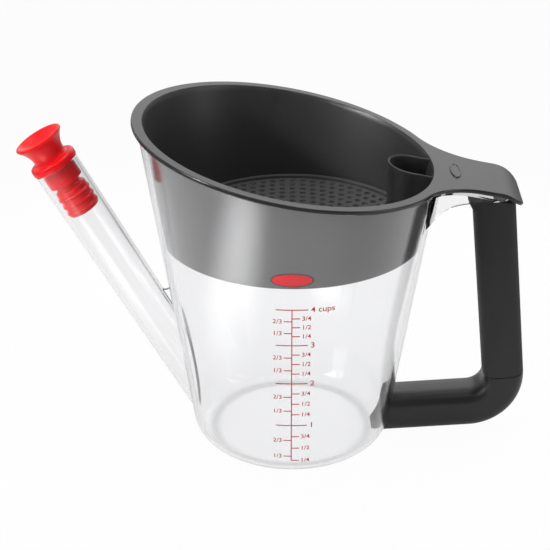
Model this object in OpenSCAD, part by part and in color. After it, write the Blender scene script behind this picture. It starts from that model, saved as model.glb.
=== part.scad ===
// Fat separator for gravy: a clear tapered jug with a straight pouring spout, a side handle,
// a lift-out strainer that covers the mouth, and a stopper for the spout.
// The jug's flat base rests on z = 0, its centre line is the z axis, the handle is at +x,
// the spout at -x, and the printed scale faces -y.

/* [Cup] */
// Diameter at which the cup's side would meet the base plane
base_d = 98; // [86:1:118]
// Outer diameter of the cup on its centre line at the rim
mouth_d = 144.4; // [124:0.2:172]
// Height of the clear rim on the centre line
cup_h = 156; // [132:1:188]
// Slope of the rim, higher at the spout and lower at the handle
rim_tilt = 10.5; // [4:0.5:14]
// Thickness of the cup's side
wall = 2.4; // [1.8:0.1:3.2]
// Thickness of the cup's floor
floor_t = 1.8; // [1.4:0.1:3]
// Outer radius of the corner between side and base
base_corner = 11.5; // [9:0.5:14]
// Inner radius of the corner between side and floor
floor_corner = 9; // [7:0.5:11]
// How far the rim's bead stands out of the side
bead = 0.7; // [0.4:0.1:1.2]
// Height of the rim's bead
bead_h = 2.4; // [1.6:0.2:4]

/* [Spout] */
// Lean of the spout from upright
spout_tilt = 29.2; // [24:0.2:34]
// Length of the spout along its centre line, from where it leaves the cup to its mouth
spout_len = 148; // [120:1:176]
// Outer diameter of the spout at the cup
spout_foot_d = 20; // [18:0.2:23]
// Outer diameter of the spout at its mouth
spout_mouth_d = 22.2; // [20:0.2:26]
// Thickness of the spout's wall
spout_wall = 1.95; // [1.4:0.05:2.4]
// Height at which the spout's underside leaves the cup
spout_low = 11.8; // [11:0.2:16]
// Thickness of the web between spout and cup
web_t = 1.6; // [1:0.1:3]
// Height of the web above the corner between spout and cup
web_h = 10; // [6:1:16]

/* [Handle] */
// Distance of the handle's lower corner from the cup's side, measured at the base plane
handle_reach = 61; // [50:1:72]
// Height of the handle's lower corner, where its two centre lines cross
handle_low = 16; // [14:0.5:20]
// Upward slope of the lower arm
arm_rise = 4.5; // [0:0.5:8]
// Lean of the grip towards the cup
grip_lean = 6.3; // [3:0.3:9]
// Thickness of grip and arm seen from the side
handle_t = 20.6; // [17:0.2:24]
// Width of grip and arm
handle_w = 22.8; // [19:0.2:27]
// Radius of their long edges
handle_round = 7; // [4:0.5:8.5]
// Radius of the bend's centre line
bend_r = 18.5; // [15:0.5:22]
// Thickness of the hard spine inside the soft grip
spine_t = 10; // [8:0.5:12]
// Thickness of the clear bracket's plate
plate_t = 4.4; // [3:0.2:6]
// Width of the clear bracket's plate
plate_w = 27; // [23:0.5:32]
// Thickness of the rib under the plate
rib_t = 8; // [5:0.5:10]
// Depth of the rib below the clear rim, measured at the centre line's height
rib_drop = 13.8; // [11:0.2:17]
// Radius of the curve between rib and cup
rib_curve = 12; // [8:0.5:15]

/* [Strainer] */
// Depth of the strainer below the clear rim on the centre line
strainer_depth = 43.5; // [36:0.5:52]
// Thickness of the strainer's side
basket_wall = 1.8; // [1.4:0.1:2.4]
// Gap all round between strainer and cup
basket_gap = 0.35; // [0.3:0.05:0.8]
// Thickness of the strainer's rim and thumb tab
rim_t = 2; // [1.6:0.1:3]
// How far the strainer's rim stands out past the cup's side
rim_over = 1.8; // [1.2:0.1:3]
// Width of the thumb tab
tab_w = 35.4; // [30:0.2:42]
// Radius of the hollow curves between rim and tab
tab_flare = 35; // [25:1:45]
// How far the tab reaches past the cup's side
tab_reach = 40; // [36:0.5:46]
// Radius at which the tab's end turns down
tab_drop_r = 18; // [14:0.5:22]
// Radius of the tab's corners
tab_corner = 10; // [5:0.5:14]
// Pitch of the holes, along a ring and from ring to ring
hole_pitch = 5.05; // [4.6:0.05:7]
// Diameter of one hole
hole_d = 3.2; // [2:0.1:3.6]
// Thickness of the perforated floor
sieve_t = 1.6; // [1.2:0.1:2.4]
// Width of the ledge round the perforated floor
ledge_w = 2; // [1.4:0.1:3]
// Height of that ledge above the floor
ledge_h = 1.4; // [0.8:0.1:2]
// Width of the air vent
vent_w = 22.6; // [16:0.2:28]
// How far the vent stands into the strainer
vent_in = 22.5; // [16:0.5:30]
// Thickness of the vent's wall
vent_wall = 1.4; // [1:0.1:2]
// Length of the oval badge, and of the oval pad on the tab
oval_l = 19.8; // [14:0.2:24]
// Height of the oval badge, and width of the pad
oval_h = 6.6; // [5:0.2:8]
// Height of the badge's middle above the strainer's lower edge
badge_up = 4.9; // [4.6:0.1:8]

/* [Stopper] */
// Diameter of the dished knob
knob_d = 24.4; // [20:0.2:28]
// Height of the knob's edge above the spout's mouth
knob_h = 16.2; // [13:0.2:20]
// Diameter of the waist under the knob
waist_d = 16.2; // [12:0.2:18]
// Diameter of the flange that sits on the spout
flange_d = 23.2; // [21:0.2:26]
// Thickness of that flange
flange_t = 3.8; // [2.4:0.2:5]
// Length of the plug inside the spout
plug_len = 26; // [20:0.5:32]
// Gap between the plug's ridges and the spout
plug_gap = 0.3; // [0.2:0.05:0.6]

/* [Hidden] */
$fn = 96;

clear_plastic = [0.86, 0.90, 0.92, 0.45];
dark_plastic = [0.20, 0.20, 0.21];
soft_black = [0.13, 0.13, 0.135];
hard_black = [0.08, 0.08, 0.085];
bright_red = [0.82, 0.07, 0.09];

big = 400;              // larger than the whole jug
above = 40;             // how far walls are drawn above the rim before the rim's plane cuts them
over = 1;               // how far a cut runs past the face that it opens
blend = 0.02;           // lets a rounded corner cross the faces beside it at a slight angle
seam = 0.05;            // gap between fixed pieces that touch along a curve
seat = 0.3;             // gap under the strainer's rim, and under the stopper's flange
cup_ml = 236.6;         // one cup in millilitres
ml = 1000;              // cubic millimetres in a millilitre

// Cup: the side is a cone, described by its radius at the base plane and its slope
slope = (mouth_d - base_d) / 2 / cup_h;
side_n = sqrt(1 + slope * slope);
in_r = base_d / 2 - wall * side_n;
function out_at(z) = base_d / 2 + slope * z;
function in_at(z) = in_r + slope * z;
rim_fall = tan(rim_tilt);
function rim_at(x) = cup_h - rim_fall * x;

// Spout: a point on the centre line near the cup, and the direction of that line
spout_dir = [-sin(spout_tilt), 0, cos(spout_tilt)];
spout_foot = [spout_foot_d / 2 * cos(spout_tilt) - out_at(spout_low), 0,
              spout_low + spout_foot_d / 2 * sin(spout_tilt)];
spout_root = 5.5;       // how far tube and bore run on into the cup
spout_grow = (spout_mouth_d - spout_foot_d) / 2 / spout_len;
function spout_r(s) = spout_foot_d / 2 + spout_grow * s;
// Where the spout's upper side meets the cup's side
crotch_s = (spout_r(0) * cos(spout_tilt) + spout_foot[0] + out_at(spout_foot[2])
            + slope * spout_r(0) * sin(spout_tilt))
           / (sin(spout_tilt) - slope * cos(spout_tilt));
crotch_z = spout_foot[2] + crotch_s * cos(spout_tilt) + spout_r(0) * sin(spout_tilt);
web_z = crotch_z + web_h;

// Handle: the lower corner and the two directions that meet there
corner_x = base_d / 2 + handle_reach;
turn = 90 + grip_lean - arm_rise;
bend_run = bend_r * tan(turn / 2);
bend_mid = [corner_x - bend_run * cos(arm_rise) - bend_r * sin(arm_rise),
            handle_low - bend_run * sin(arm_rise) + bend_r * cos(arm_rise)];
arm_in = 5;             // how far the arm reaches in under the cup's rounded corner
spine_w = spine_t + 2;  // width of the spine
spine_root = 3;         // how far the spine starts below the bend's end
spine_round = 2;        // radius of the spine's edges, and of the boss's
lip_out = 2.4;          // how far the grip's upper inner corner stands out
lip_h = 8;              // height of that corner
lip_w = 16;             // width of that corner
plate_back = 3;         // how far the bracket's plate ends short of the grip's outer side
tenon_h = 10;           // depth of the bracket's tenon in the spine
tenon_t = 5;            // thickness of that tenon
boss_t = 9;             // thickness of the cup's boss in the lower arm
boss_l = 10;            // length of that boss past the cup's side
fit = 0.1;              // gap round tenon, boss and badge
function grip_x(z) = corner_x - (z - handle_low) * tan(grip_lean);

// Strainer
skirt_z = cup_h - strainer_depth;
basket_r = in_r - basket_gap * side_n;
function basket_at(z) = basket_r + slope * z;
basket_in = basket_r - basket_wall * side_n;
function basket_in_at(z) = basket_in + slope * z;
lid_z = cup_h + (seat + rim_t) / cos(rim_tilt);
function lid_at(x) = lid_z - rim_fall * x;
side_x = (base_d / 2 + slope * cup_h) / (1 + slope * rim_fall);
tab_end = side_x + tab_reach;
tab_turn = 60;          // angle to which the tab's end turns down
drop_x = tab_end - tab_drop_r * (sin(tab_turn) - sin(rim_tilt));
drop_mid = [drop_x - tab_drop_r * sin(rim_tilt), lid_at(drop_x) - tab_drop_r * cos(rim_tilt)];
pad_up = 0.5;           // how far the bare pad stands above the tab
pad_x = side_x + 8;
badge_in = 0.8;         // depth of the badge's pocket
vent_low = 1.7;         // how far the vent's top lies below the strainer's rim
sieve_r = basket_in_at(skirt_z) - ledge_w;
vent_mid = basket_in_at(skirt_z + strainer_depth) - vent_in + vent_w / 2;

// Stopper, along the spout's centre line with 0 at the mouth
function bore_r(s) = spout_r(spout_len + s) - spout_wall;

// A wall's outline for revolving: cone with a rounded corner at its foot
module cone_outline(r0, z0, corner, top) {
    zc = z0 + corner;
    rc = r0 + slope * zc - corner * side_n;
    difference() {
        polygon([[0, z0], [r0 + slope * z0, z0], [r0 + slope * top, top], [0, top]]);
        difference() {
            polygon([[rc, zc], [rc, z0 - corner], [rc + 3 * corner, z0 - corner],
                     [rc + 3 * corner, zc - 3 * corner * slope]]);
            translate([rc, zc]) circle(corner + blend);
        }
    }
}

module cup_solid(extra = 0) {
    rotate_extrude() cone_outline(base_d / 2 + extra, 0, base_corner, cup_h + above);
}

module cup_hollow() {
    rotate_extrude() cone_outline(in_r, floor_t, floor_corner, cup_h + above + over);
}

// Slab that runs with the clear rim, from lo to hi above it
module rim_slab(lo, hi) {
    translate([0, 0, cup_h]) rotate([0, rim_tilt, 0])
        translate([-big / 2, -big / 2, lo]) cube([big, big, hi - lo]);
}

module along_spout(s) {
    translate(spout_foot + s * spout_dir) rotate([0, -spout_tilt, 0]) children();
}

module spout_bore() {
    run = spout_root + spout_len + over;
    along_spout(-spout_root)
        cylinder(h = run, r1 = spout_r(-spout_root) - spout_wall, r2 = bore_r(over));
}

// Rectangle with rounded corners, centred
module soft_rect(a, b, r) {
    square([a - 2 * r, b], center = true);
    square([a, b - 2 * r], center = true);
    for (i = [-1, 1], j = [-1, 1])
        translate([i * (a / 2 - r), j * (b / 2 - r)]) circle(r);
}

// Ellipse as a fine outline
module oval(l, h) {
    polygon([for (i = [0 : 5 : 355]) [l / 2 * cos(i), h / 2 * sin(i)]]);
}

// A plate in the handle's plane, w wide, from an outline in x and z
module side_plate(w) {
    translate([0, w / 2, 0]) rotate([90, 0, 0]) linear_extrude(w) children();
}

// Frame with its origin at the bend's middle and its x along the lower arm
module bend_frame() {
    translate([bend_mid[0], 0, bend_mid[1]]) rotate([0, -arm_rise, 0]) children();
}

// Lower arm and bend as one rod of rounded section, from the cup to the foot of the grip
module arm_and_bend(a, b, r) {
    run = (corner_x - base_d / 2 + arm_in) / cos(arm_rise) - bend_run;
    bend_frame() {
        translate([0, 0, -bend_r]) rotate([0, -90, 0]) linear_extrude(run) soft_rect(a, b, r);
        rotate([90, 0, 0]) rotate([0, 0, -90]) rotate_extrude(angle = turn)
            translate([bend_r, 0]) soft_rect(a, b, r);
    }
}

// Rod that runs up the grip, with 0 where the bend ends
module grip_rod(from_s, to_s, a, b, r) {
    translate([corner_x, 0, handle_low]) rotate([0, -grip_lean, 0])
        translate([0, 0, bend_run + from_s]) linear_extrude(to_s - from_s) soft_rect(a, b, r);
}

// Everything that lies lower than a face under the thumb tab's top and its turned-down end
module under_tab(low) {
    drop = low / cos(rim_tilt);
    difference() {
        polygon([[-big / 2, lid_at(-big / 2) - drop], [big / 2, lid_at(big / 2) - drop],
                 [big / 2, -big], [-big / 2, -big]]);
        difference() {
            polygon([drop_mid, drop_mid + big / 4 * [sin(rim_tilt), cos(rim_tilt)], [big / 2, big],
                     [big / 2, drop_mid[1]]]);
            translate(drop_mid) circle(tab_drop_r - low + blend);
        }
    }
}

// Everything that lies over a face at a gap under the tab
module over_tab(gap) {
    side_plate(big) difference() {
        polygon([[-big / 2, 0], [big / 2, 0], [big / 2, big], [-big / 2, big]]);
        under_tab(rim_t + gap);
    }
}

module cup() {
    color(clear_plastic) difference() {
        union() {
            difference() {
                union() {
                    cup_solid();
                    rim_bead();
                }
                rim_slab(0, big / 2);
            }
            lower_boss();
        }
        cup_hollow();
        spout_bore();
    }
}

// Bead round the clear rim, cut off below by a plane that runs with the rim
module rim_bead(gap = 0) {
    intersection() {
        cup_solid(bead + gap);
        rim_slab(-bead_h - gap, big / 2);
    }
}

// Stub on the cup that carries the lower arm
module lower_boss(gap = 0) {
    from_x = in_at(handle_low) + wall / 2;
    run = boss_l + wall + gap;
    z = handle_low - (corner_x - from_x) * tan(arm_rise);
    size = boss_t + 2 * gap;
    translate([from_x, 0, z]) rotate([0, 90 - arm_rise, 0]) linear_extrude(run)
        soft_rect(size, size, spine_round);
}

module spout_tube() {
    color(clear_plastic) difference() {
        union() {
            spout_solid();
            difference() {
                spout_web();
                spout_solid(-spout_wall / 2);
            }
        }
        spout_bore();
        cup_solid(seam);
    }
}

module spout_solid(extra = 0) {
    along_spout(-spout_root) cylinder(h = spout_root + spout_len, r1 = spout_r(-spout_root) + extra,
                                      r2 = spout_r(spout_len) + extra);
}

// Thin web in the corner between spout and cup, with a round dip in its upper edge
module spout_web() {
    s = (web_z - spout_foot[2] - spout_r(crotch_s) * sin(spout_tilt)) / cos(spout_tilt);
    spout_x = spout_foot[0] - s * sin(spout_tilt) + spout_r(s) * cos(spout_tilt);
    cup_x = -out_at(web_z);
    dip = (cup_x - spout_x) / 2;
    side_plate(web_t) difference() {
        polygon([[spout_x - spout_wall / 2, web_z], [cup_x + wall / 2, web_z],
                 [-out_at(crotch_z), crotch_z - web_h / 3]]);
        translate([spout_x + dip, web_z]) circle(dip);
    }
}

// Clear bracket that carries the grip's upper end; one with the cup
module handle_bracket() {
    top_x = grip_x(rim_at(corner_x));
    color(clear_plastic) difference() {
        union() {
            difference() {
                intersection() {
                    linear_extrude(big / 2) bracket_plan(top_x + handle_t / 2 - plate_back);
                    rim_slab(-plate_t, 0);
                }
                cup_solid(bead + seam);
            }
            difference() {
                bracket_rib(top_x);
                grip_solid(seam);
                cup_solid(seam);
                rim_bead(seam);
            }
            bracket_tenon();
        }
        over_tab(seat);
    }
}

module bracket_plan(end_x) {
    flare = 24;             // radius of the hollow curves beside the plate
    corner = 5;             // radius of the plate's corners
    mid_y = plate_w / 2 + flare;
    mid_x = sqrt(pow(side_x + flare, 2) - mid_y * mid_y);
    k = side_x / (side_x + flare);
    difference() {
        polygon([[side_x / 2, -mid_y * k], [mid_x * k, -mid_y * k], [mid_x, -plate_w / 2],
                 [mid_x, plate_w / 2], [mid_x * k, mid_y * k], [side_x / 2, mid_y * k]]);
        for (j = [-1, 1]) translate([mid_x, j * mid_y]) circle(flare - blend);
    }
    translate([(mid_x + end_x - corner) / 2, 0])
        soft_rect(end_x - mid_x + corner, plate_w, corner);
}

module bracket_rib(top_x) {
    low = cup_h - rim_fall * side_x - rib_drop;
    wall_x = sqrt(pow(out_at(low - rib_curve), 2) - pow(rib_t / 2, 2)) - seam;
    side_plate(rib_t) difference() {
        polygon([[side_x / 2, low - rib_curve], [wall_x + rib_curve, low - rib_curve],
                 [wall_x + rib_curve, low], [top_x, low], [top_x, rim_at(top_x) - plate_t / 2],
                 [side_x / 2, rim_at(side_x / 2) - plate_t / 2]]);
        translate([wall_x + rib_curve, low - rib_curve]) circle(rib_curve);
    }
}

// Flat tongue under the plate that the spine's top closes round
module bracket_tenon(gap = 0) {
    top_z = rim_at(grip_x(cup_h));
    s = (top_z - handle_low) / cos(grip_lean) - bend_run;
    grip_rod(s - plate_t - tenon_h - gap, s, tenon_t + 2 * gap, rib_t + 2 * gap, 1);
}

// Scale: height to which a volume fills the cup and its spout
function cone_volume(z) = PI * (pow(in_at(z), 3) - pow(in_at(floor_t), 3)) / (3 * slope);
corner_mid = 0.22;      // where a square corner's cut-off lies, as a share of its radius
corner_loss = 2 * PI * (in_at(floor_t) - corner_mid * floor_corner)
              * (1 - PI / 4) * pow(floor_corner, 2);
function spout_volume(z) = PI * pow(spout_r(0) - spout_wall, 2) / cos(spout_tilt)
                           * max(0, z - spout_foot[2]);
function volume(z) = cone_volume(z) - corner_loss + spout_volume(z);
function height_for(v, lo, hi, n) =
    n == 0 ? (lo + hi) / 2
           : volume((lo + hi) / 2) < v ? height_for(v, (lo + hi) / 2, hi, n - 1)
                                       : height_for(v, lo, (lo + hi) / 2, n - 1);
function mark_z(cups) = height_for(cups * cup_ml * ml, floor_t, cup_h, 24);
cups_marked = 4;
line_t = 0.5;           // width of a printed line
print_t = 0.15;         // thickness of the print
tick_long = 7.5;        // half length of a whole cup's line
tick_short = 3.8;       // length of a quarter's or a third's line

// Thin skin just outside the cup's side, in which the scale is printed
module print_skin() {
    top = cup_h - floor_t;
    rotate_extrude()
        polygon([[out_at(floor_t) + seam, floor_t], [out_at(floor_t) + seam + print_t, floor_t],
                 [out_at(top) + seam + print_t, top], [out_at(top) + seam, top]]);
}

// One printed line at height z, from x = a to x = b
module tick(z, a, b) {
    translate([a, -big / 2, z - line_t / 2]) cube([b - a, big / 2, line_t]);
}

module scale_print() {
    low = mark_z(1 / 4);
    high = mark_z(cups_marked);
    color(bright_red) intersection() {
        print_skin();
        union() {
            translate([-line_t / 2, -big / 2, low]) cube([line_t, big / 2, high - low]);
            for (c = [1 : cups_marked]) {
                tick(mark_z(c), -tick_long, tick_long);
                for (q = [1 : 3]) tick(mark_z(c - q / 4), 0, tick_short);
                for (q = [1 : 2]) tick(mark_z(c - q / 3), -tick_short, 0);
            }
        }
    }
}

// Top of the grip along its own centre line, where it meets the bracket's plate
grip_top = (rim_at(grip_x(cup_h)) - handle_low) / cos(grip_lean) - bend_run;

// Hard moulding: lower arm, bend and the spine inside the grip
module handle_core() {
    color(hard_black) difference() {
        union() {
            arm_and_bend(handle_t, handle_w, handle_round);
            intersection() {
                grip_rod(-spine_root, grip_top, spine_t, spine_w, spine_round);
                rim_slab(-big, -plate_t - seam);
            }
        }
        cup_solid(seam);
        lower_boss(fit);
        bracket_tenon(fit);
    }
}

// Soft sleeve round the spine, with its upper inner corner drawn out towards the cup
module handle_grip() {
    color(soft_black) difference() {
        grip_solid();
        over_tab(seat);
        grip_rod(0, grip_top, spine_t + 2 * seam, spine_w + 2 * seam, spine_round);
    }
}

// Outer form of the grip, drawn larger by the gap that a neighbour keeps
module grip_solid(gap = 0) {
    intersection() {
        union() {
            grip_rod(seam, grip_top, handle_t + 2 * gap, handle_w + 2 * gap, handle_round);
            grip_lip(gap);
        }
        rim_slab(-big, gap - plate_t - seam);
    }
}

module grip_lip(gap) {
    z = rim_at(grip_x(cup_h)) - plate_t;
    x = grip_x(z) - handle_t / 2;
    side_plate(lip_w + 2 * gap)
        polygon([[x + lip_out, z - 2 * lip_h], [x, z - lip_h - gap],
                 [x - lip_out - gap, z - lip_h + lip_out], [x - lip_out - gap, z + lip_h],
                 [x + lip_out, z + lip_h]]);
}

// Outline in x and z of the sheet that forms the strainer's rim and thumb tab
module lid_sheet() {
    last = [sin(tab_turn), cos(tab_turn)];
    intersection() {
        difference() {
            under_tab(0);
            under_tab(rim_t);
        }
        polygon([drop_mid - big * last, drop_mid + big * last, [0, 2 * big], [-big, 2 * big]]);
    }
}

// Thumb tab seen from above, with hollow curves that run into the rim
module tab_plan() {
    rim_r = base_d / 2 + slope * lid_z + rim_over;
    rim_mid = -rim_r * slope * rim_fall;
    flare_y = tab_w / 2 + tab_flare;
    flare_x = rim_mid + sqrt(pow(rim_r + tab_flare, 2) - flare_y * flare_y);
    share = rim_r / (rim_r + tab_flare);
    meet = [rim_mid + (flare_x - rim_mid) * share, flare_y * share];
    difference() {
        polygon([[side_x / 2, -meet[1]], [meet[0], -meet[1]], [flare_x, -tab_w / 2],
                 [flare_x, tab_w / 2], meet, [side_x / 2, meet[1]]]);
        for (j = [-1, 1]) translate([flare_x, j * flare_y]) circle(tab_flare - blend);
    }
    from_x = flare_x - 2 * tab_corner;
    translate([(from_x + tab_end) / 2, 0]) soft_rect(tab_end - from_x, tab_w, tab_corner);
}

// Cone at a gap inside the cup's hollow, between two heights
module basket_cone(r, lo, hi) {
    translate([0, 0, lo]) cylinder(h = hi - lo, r1 = r + slope * lo, r2 = r + slope * hi);
}

// Oval prism that runs through the strainer's side where the badge sits
module badge_prism(gap) {
    z = skirt_z + badge_up;
    translate([0, -basket_in_at(z) / 2, z]) rotate([90, 0, 0])
        linear_extrude(big / 4) oval(oval_l + 2 * gap, oval_h + 2 * gap);
}

module strainer_basket() {
    color(dark_plastic) {
        difference() {
            union() {
                intersection() {
                    basket_cone(basket_r, skirt_z, cup_h + above);
                    rim_slab(-big, seat + rim_t);
                }
                intersection() {
                    side_plate(big) lid_sheet();
                    union() {
                        cup_solid(rim_over);
                        linear_extrude(big / 2) tab_plan();
                    }
                }
                intersection() {
                    translate([pad_x, 0, 0]) linear_extrude(big / 2) oval(oval_h, oval_l);
                    rim_slab(seat, seat + rim_t + pad_up);
                }
            }
            basket_cone(basket_in, skirt_z - over, cup_h + above + over);
            difference() {
                badge_prism(fit);
                basket_cone(basket_r - badge_in, skirt_z - over, cup_h);
            }
        }
    }
}

// Outline of the vent from above, open towards the strainer's side
module vent_plan(w) {
    translate([vent_mid, 0]) {
        circle(w / 2);
        translate([0, -w / 2]) square([big / 8, w]);
    }
}

// Perforated floor: rings of six, twelve, eighteen holes and so on round one in the middle
module strainer_floor() {
    ledge_top = skirt_z + sieve_t + ledge_h;
    rings = floor((sieve_r - hole_d / 2 - over) / hole_pitch);
    keep = vent_w / 2 + hole_d / 2 + over;
    color(dark_plastic) difference() {
        rotate_extrude() polygon([[0, skirt_z], [basket_in_at(skirt_z) - seam, skirt_z],
                                  [basket_in_at(ledge_top) - seam, ledge_top], [sieve_r, ledge_top],
                                  [sieve_r, skirt_z + sieve_t], [0, skirt_z + sieve_t]]);
        translate([0, 0, skirt_z - over]) {
            cylinder(h = sieve_t + 2 * over, d = hole_d);
            for (k = [1 : rings], i = [0 : 6 * k - 1]) {
                x = k * hole_pitch * cos(90 + 60 / k * i);
                y = k * hole_pitch * sin(90 + 60 / k * i);
                if (norm([min(x - vent_mid, 0), y]) > keep)
                    translate([x, y, 0]) cylinder(h = sieve_t + 2 * over, d = hole_d);
            }
            linear_extrude(sieve_t + ledge_h + 2 * over) vent_plan(vent_w + 2 * seam);
        }
    }
}

// Air vent beside the handle, a trough stood on end against the strainer's side
module vent_chimney() {
    color(dark_plastic) intersection() {
        translate([0, 0, skirt_z]) linear_extrude(big / 2) difference() {
            vent_plan(vent_w);
            vent_plan(vent_w - 2 * vent_wall);
        }
        basket_cone(basket_in - seam, skirt_z, cup_h + above);
        rim_slab(-big, seat + rim_t - vent_low);
    }
}

module oval_badge() {
    color(bright_red) difference() {
        intersection() {
            badge_prism(0);
            basket_cone(basket_r, skirt_z, cup_h);
        }
        basket_cone(basket_r - badge_in + fit, skirt_z - over, cup_h + over);
    }
}

// Stopper: plug with a notch and three ridges, flange, waist and dished knob
module stopper() {
    color(bright_red) along_spout(spout_len) rotate_extrude() {
        plug_outline();
        knob_outline();
    }
}

module plug_outline() {
    neck_len = 9;           // length of the plain part below the flange
    notch_len = 3.4;        // width of the round notch
    notch_deep = 2.4;       // depth of that notch
    ridge_r = 1.1;          // radius of one ridge
    ridges = 3;             // number of ridges
    plug_r = bore_r(-plug_len) - plug_gap;
    ridge_out = 0.7;        // how far a ridge stands out
    body_r = plug_r - ridge_out;
    ridge_step = (plug_len - neck_len - notch_len - ridge_r) / ridges;
    translate([0, -neck_len]) square([plug_r, neck_len + seat + flange_t / 2]);
    translate([0, -neck_len - notch_len]) difference() {
        square([plug_r, notch_len]);
        translate([plug_r, notch_len / 2]) circle(notch_len / 2);
        translate([plug_r - notch_deep + notch_len / 2, 0]) square([notch_deep, notch_len]);
    }
    translate([0, -plug_len]) square([body_r, plug_len - neck_len - notch_len]);
    for (i = [0 : ridges - 1])
        translate([plug_r - ridge_r, -plug_len + ridge_r + i * ridge_step]) circle(ridge_r);
}

module knob_outline() {
    edge_r = 1.1;           // radius of the knob's rounded edge
    dish_deep = 3.4;        // depth of the dish
    dish_edge = 1.6;        // width of the flat edge round the dish
    waist_h = 1.6;          // height of the straight waist above the flange
    rise = knob_h - edge_r;
    out_r = knob_d / 2;
    waist_z = seat + flange_t + waist_h;
    flare = (pow(out_r - waist_d / 2, 2) + pow(rise - waist_z, 2)) / (2 * (out_r - waist_d / 2));
    dish_r = out_r - dish_edge;
    dish = (dish_r * dish_r + dish_deep * dish_deep) / (2 * dish_deep);
    translate([0, seat]) square([(flange_d - flange_t) / 2, flange_t]);
    translate([(flange_d - flange_t) / 2, seat + flange_t / 2]) circle(flange_t / 2);
    difference() {
        translate([0, seat]) square([out_r - edge_r, knob_h - seat]);
        translate([waist_d / 2 + flare, waist_z]) circle(flare);
        translate([waist_d / 2, 0]) square([out_r, waist_z]);
        translate([0, knob_h - dish_deep + dish]) circle(dish);
    }
    translate([out_r - edge_r, rise]) circle(edge_r);
}

cup();
spout_tube();
handle_bracket();
scale_print();
handle_core();
handle_grip();
strainer_basket();
strainer_floor();
vent_chimney();
oval_badge();
stopper();
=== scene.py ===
import math
import bmesh
import bpy
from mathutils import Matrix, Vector


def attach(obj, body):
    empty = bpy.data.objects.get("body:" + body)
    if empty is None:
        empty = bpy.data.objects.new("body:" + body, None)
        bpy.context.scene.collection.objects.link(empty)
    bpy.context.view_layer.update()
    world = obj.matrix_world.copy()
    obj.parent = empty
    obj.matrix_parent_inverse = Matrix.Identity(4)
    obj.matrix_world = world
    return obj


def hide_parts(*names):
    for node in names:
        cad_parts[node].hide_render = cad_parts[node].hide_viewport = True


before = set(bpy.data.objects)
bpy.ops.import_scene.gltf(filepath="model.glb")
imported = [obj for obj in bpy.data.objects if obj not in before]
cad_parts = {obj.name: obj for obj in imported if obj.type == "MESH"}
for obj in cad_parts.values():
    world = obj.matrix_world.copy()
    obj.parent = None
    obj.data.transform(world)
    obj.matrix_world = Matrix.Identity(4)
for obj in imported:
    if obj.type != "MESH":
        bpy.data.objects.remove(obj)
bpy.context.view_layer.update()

jugBody, strainerBody, stopperBody = "jug", "strainer", "stopper"
mm = 0.001
weldGap = 1e-7  # points this near, in metres, become one


# mesh tools: every form is worked out in millimetres

def meshObject(name, verts, faces, material, sharp=35):
    mesh = bpy.data.meshes.new(name)
    mesh.from_pydata([Vector(v) * mm for v in verts], [], faces)
    obj = bpy.data.objects.new(name, mesh)
    bpy.context.scene.collection.objects.link(obj)
    mesh.materials.append(material)
    tidy(obj, sharp)
    return obj


# welds doubled points, turns all faces outwards and shades edges as round where they turn by less than sharp
def tidy(obj, sharp):
    bm = bmesh.new()
    bm.from_mesh(obj.data)
    bmesh.ops.remove_doubles(bm, verts=bm.verts, dist=weldGap)
    bmesh.ops.recalc_face_normals(bm, faces=bm.faces)
    for face in bm.faces:
        face.smooth = True
    bm.to_mesh(obj.data)
    bm.free()
    obj.data.set_sharp_from_angle(angle=math.radians(sharp))


# skin over rings that have the same number of points; it closes on itself, or gets a cap at each end
def loft(name, rings, material, closed=False, sharp=35):
    count, rows = len(rings[0]), len(rings)
    faces = []
    for row in range(rows if closed else rows - 1):
        a, b = row * count, (row + 1) % rows * count
        for i in range(count):
            j = (i + 1) % count
            faces.append((a + i, a + j, b + j, b + i))
    if not closed:
        faces.append(tuple(range(count - 1, -1, -1)))
        faces.append(tuple(range((rows - 1) * count, rows * count)))
    return meshObject(name, [p for ring in rings for p in ring], faces, material, sharp)


# low and high turn a point of the outline into its two ends
def prism(name, outline, low, high, material):
    n = len(outline)
    verts = [low(p) for p in outline] + [high(p) for p in outline]
    faces = [tuple(range(n - 1, -1, -1)), tuple(range(n, 2 * n))]
    faces += [(i, (i + 1) % n, n + (i + 1) % n, n + i) for i in range(n)]
    return meshObject(name, verts, faces, material)


# the result becomes obj's own mesh, and the tool is used up
def join(obj, tool, operation, sharp):
    mod = obj.modifiers.new("join", "BOOLEAN")
    mod.operation, mod.object, mod.solver = operation, tool, "EXACT"
    bpy.context.view_layer.update()
    done = bpy.data.meshes.new_from_object(obj.evaluated_get(bpy.context.evaluated_depsgraph_get()))
    obj.modifiers.clear()
    obj.data = done
    tidy(obj, sharp)
    bpy.data.objects.remove(tool)
    return obj


# the largest faces set the shading, so that a rounded edge doesn't bend the light on the face beside it
def evenShading(obj):
    mod = obj.modifiers.new("evenShading", "WEIGHTED_NORMAL")
    mod.mode, mod.weight, mod.keep_sharp = "FACE_AREA", 100, True


# points of an arc, which runs from start to end in degrees
def arc(cx, cy, r, start, end, steps):
    turnsHere = [math.radians(start + (end - start) * i / steps) for i in range(steps + 1)]
    return [(cx + r * math.cos(a), cy + r * math.sin(a)) for a in turnsHere]


# puts a finished piece on its body; nodes are the CAD parts that it stands in for
def give(obj, body, slotName, *nodes):
    if not obj.data.has_custom_normals:
        evenShading(obj)
    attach(obj, body)
    if nodes:
        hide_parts(*nodes)


# shader tools

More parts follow.
